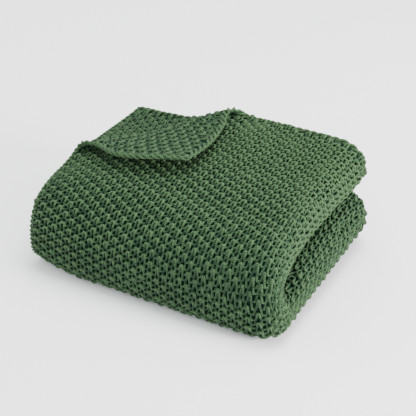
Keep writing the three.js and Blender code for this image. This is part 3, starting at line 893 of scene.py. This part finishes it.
class ThrowStageSettings(bpy.types.PropertyGroup):
    azimuth: bpy.props.FloatProperty(
        name="Azimuth", description="Camera direction, to the right of the front",
        default=math.radians(28.65), subtype="ANGLE")
    elevation: bpy.props.FloatProperty(
        name="Elevation", description="Camera direction above the floor", default=math.radians(35.33),
        subtype="ANGLE")
    distance: bpy.props.FloatProperty(
        name="Distance", description="Camera to the middle of the throw", default=2.85292,
        subtype="DISTANCE", unit="LENGTH")
    key: bpy.props.FloatProperty(
        name="Key light", description="Power of the main light", default=158.0, subtype="POWER", unit="POWER")
    overhead: bpy.props.FloatProperty(
        name="Overhead light", description="Power of the soft light from above", default=76.0,
        subtype="POWER", unit="POWER")
    fill: bpy.props.FloatProperty(
        name="Fill light", description="Power of the soft light from the left", default=17.0,
        subtype="POWER", unit="POWER")
    sky: bpy.props.FloatProperty(name="Sky", description="Strength of the even light", default=1.75, min=0)


# Pieces

# How far the outer stitches go on under the lower right fold, and how far in from the edges and folds
# the layers below are worked
SHOWN_P = P_UNDER + 40.0
SHOWN = dict(second_layer=34.0, left_end=24.0, tuck=4.0, back_end=26.0, back_fold=34.0)


def ride_root(obj, material):
    obj.data.materials.append(material)
    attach(obj, "root")
    return obj


class THROW_OT_ground(bpy.types.Operator):
    """Lay the thin folded sheet in painted shade that the stitches are worked on"""
    bl_idname = "throw.ground"
    bl_label = "Folded ground"

    def execute(self, context):
        knit = context.scene.throw_knit
        p = spans((0, P_LOBE, 46), (P_LOBE, P_UNDER, 18), (P_UNDER, P_TUCK, 12), (P_TUCK, P_LOOSE, 12),
                  (P_LOOSE, P_END, 8))
        v = spans((0, V_TOP, 36), (V_TOP, V_LOW, 30), (V_LOW, 1 - V_FOLD, 8), (1 - V_FOLD, 1 + V_FOLD, 10),
                  (1 + V_FOLD, 2 - V_LOW, 8), (2 - V_LOW, 2 - V_TOP, 22), (2 - V_TOP, 2, 22))
        quads = sheet_quads(len(p), len(v))
        p, v = np.meshgrid(p, v, indexing="ij")
        uvs = np.stack([p / (knit.stitch_width / MM), s_of(v) / (knit.row_height / MM)], -1).reshape(-1, 2)
        obj = make_mesh("ground", ground_verts(p, v), quads, np.concatenate([uvs, uvs])[quads])
        ride_root(obj, material_named("inside of the knit", painted_shade_inside_knit, context.scene.throw_colours))
        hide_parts("throw")
        return {"FINISHED"}


class THROW_OT_knit(bpy.types.Operator):
    """Work the seed stitch over the top, the front, the right folds and the underside"""
    bl_idname = "throw.knit"
    bl_label = "Seed stitch"

    def execute(self, context):
        knit = context.scene.throw_knit
        material = yarn_material(context)
        fine = 12
        for name, start, end, segments, sides in (
                ("knit_top", 0.0, V_TOP, fine, 6), ("knit_front", V_TOP, V_LOW, fine, 6),
                ("knit_underside", V_LOW, 1.0, 8, 5)):
            ride_root(knit_patch(knit, name, lambda p, v, s: (v >= start) & (v < end) & (p < SHOWN_P),
                                 segments=segments, sides=sides), material)
        return {"FINISHED"}


class THROW_OT_layers(bpy.types.Operator):
    """Work the seed stitch on the second layer and along the ends and folds of the layers below"""
    bl_idname = "throw.layers"
    bl_label = "Layers below"

    def execute(self, context):
        knit = context.scene.throw_knit
        material = yarn_material(context)

        def second(p, v, s):
            return (v > 1.5) & (past_turn(p, S_END - s) > -SHOWN["second_layer"])

        def left(p, v, s):
            raw = (p < SHOWN["left_end"]) & (v >= 1.0) & ~second(p, v, s)
            tuck = (p > P_TUCK - SHOWN["tuck"]) & (p < P_LOOSE + SHOWN["tuck"])
            return raw | tuck

        def back(p, v, s):
            ends = (s < SHOWN["back_end"]) | (S_END - s < SHOWN["back_end"])
            near = ends | (np.abs(s - s_of(1.0)) < SHOWN["back_fold"])
            outer = (v < 1.0) & (p < SHOWN_P)
            return near & ~outer & ~left(p, v, s) & ~second(p, v, s)

        ride_root(knit_patch(knit, "knit_second_layer", second, face=-1, heads=-1), material)
        for name, shown in (("knit_left_ends", left), ("knit_back_ends", back)):
            ride_root(knit_patch(knit, name, shown, segments=8, sides=5), material)
        return {"FINISHED"}


class THROW_OT_edges(bpy.types.Operator):
    """Bind the cloth off at both ends and finish its two selvedges"""
    bl_idname = "throw.edges"
    bl_label = "Bound edges"

    def execute(self, context):
        knit = context.scene.throw_knit
        tubes = Tubes(6)
        twist_ropes(tubes, BOUND, P_END, S_END, 2 * knit.stitch_width / MM,
                    lambda along, across: (along, np.clip(v_of(across), BOUND_KEEP_V, 2 - BOUND_KEEP_V)))
        twist_ropes(tubes, SELVEDGE, S_END, P_END, 2 * knit.row_height / MM,
                    lambda along, across: (np.clip(across, KEEP_P, P_END - KEEP_P), v_of(along)))
        ride_root(tubes.mesh("bound_edges"), yarn_material(context))
        return {"FINISHED"}


# Lamps of the stage, by the name of their power's setting: place and size in metres, and colour
LAMPS = dict(
    key=((2.65, 0.15, 0.80), 0.9, (1.0, 0.99, 0.96)),
    overhead=((0.2, 0.3, 2.6), 1.5, (1.0, 1.0, 1.0)),
    fill=((-2.2, -0.6, 1.0), 1.6, (0.95, 0.98, 1.0)),
)
FLOOR_SIZE = 12
SKY_COLOUR = (0.95, 0.98, 1.0, 1)
# The camera's focal length and the picture's shift in the photo's pixels, and the height that the camera
# and the lamps look at
PHOTO_PIXELS, FOCAL_PIXELS, SHIFT_PIXELS = 416, 1734.21, (8.46, 9.05)
SENSOR_WIDTH = 36.0
LOOK_AT_HEIGHT = 0.080


class THROW_OT_stage(bpy.types.Operator):
    """Set the pale floor, the soft lights and the camera"""
    bl_idname = "throw.stage"
    bl_label = "Stage"

    def execute(self, context):
        stage = context.scene.throw_stage
        bpy.ops.mesh.primitive_plane_add(size=FLOOR_SIZE, location=(0, 0, 0))
        floor = context.object
        floor.name = "floor"
        floor.data.materials.append(material_named("pale floor", pale_floor))
        world = bpy.data.worlds.new("studio")
        world.use_nodes = True
        set_inputs(world.node_tree, world.node_tree.nodes["Background"],
                   {"Color": SKY_COLOUR, "Strength": stage.sky})
        context.scene.world = world
        for name in LAMPS:
            self.lamp(name, getattr(stage, name))
        self.camera(context.scene, stage)
        return {"FINISHED"}

    def lamp(self, name, power):
        place, size, colour = LAMPS[name]
        light = bpy.data.lights.new(name, "AREA")
        light.shape = "DISK"
        light.size = size
        light.energy = power
        light.color = colour
        obj = bpy.data.objects.new(name, light)
        bpy.context.scene.collection.objects.link(obj)
        obj.location = place
        away = Vector(place) - Vector((0, 0, LOOK_AT_HEIGHT))
        obj.rotation_euler = away.to_track_quat("Z", "Y").to_euler()

    def camera(self, scene, stage):
        camera = bpy.data.cameras.new("camera")
        obj = bpy.data.objects.new("camera", camera)
        scene.collection.objects.link(obj)
        az, el = stage.azimuth, stage.elevation
        away = Vector((math.sin(az) * math.cos(el), -math.cos(az) * math.cos(el), math.sin(el)))
        target = Vector((SHIFT[0] * MM, SHIFT[1] * MM, LOOK_AT_HEIGHT))
        obj.location = target + away * stage.distance
        obj.rotation_euler = away.to_track_quat("Z", "Y").to_euler()
        camera.sensor_width = SENSOR_WIDTH
        camera.lens = FOCAL_PIXELS / PHOTO_PIXELS * SENSOR_WIDTH
        camera.shift_x, camera.shift_y = (pixels / PHOTO_PIXELS for pixels in SHIFT_PIXELS)
        camera.clip_end = 50
        scene.camera = obj


class THROW_PT_panel(bpy.types.Panel):
    """Buttons and settings of the throw"""
    bl_idname = "THROW_PT_panel"
    bl_label = "Folded knit throw"
    bl_space_type = "VIEW_3D"
    bl_region_type = "UI"
    bl_category = "Throw"

    def draw(self, context):
        layout = self.layout
        for group in (context.scene.throw_knit, context.scene.throw_colours, context.scene.throw_stage):
            box = layout.box()
            for key in group.__annotations__:
                box.prop(group, key)
        for operator in OPERATORS:
            layout.operator(operator.bl_idname)


OPERATORS = (THROW_OT_ground, THROW_OT_knit, THROW_OT_layers, THROW_OT_edges, THROW_OT_stage)
GROUPS = (("throw_knit", ThrowKnitSettings), ("throw_colours", ThrowColourSettings),
          ("throw_stage", ThrowStageSettings))


def register():
    for name, group in GROUPS:
        bpy.utils.register_class(group)
        setattr(bpy.types.Scene, name, bpy.props.PointerProperty(type=group))
    for operator in OPERATORS:
        bpy.utils.register_class(operator)
    bpy.utils.register_class(THROW_PT_panel)


def unregister():
    bpy.utils.unregister_class(THROW_PT_panel)
    for operator in reversed(OPERATORS):
        bpy.utils.unregister_class(operator)
    for name, group in reversed(GROUPS):
        delattr(bpy.types.Scene, name)
        bpy.utils.unregister_class(group)


def main():
    register()
    bpy.ops.throw.ground()
    bpy.ops.throw.knit()
    bpy.ops.throw.layers()
    bpy.ops.throw.edges()
    bpy.ops.throw.stage()


if __name__ == "__main__":
    main()
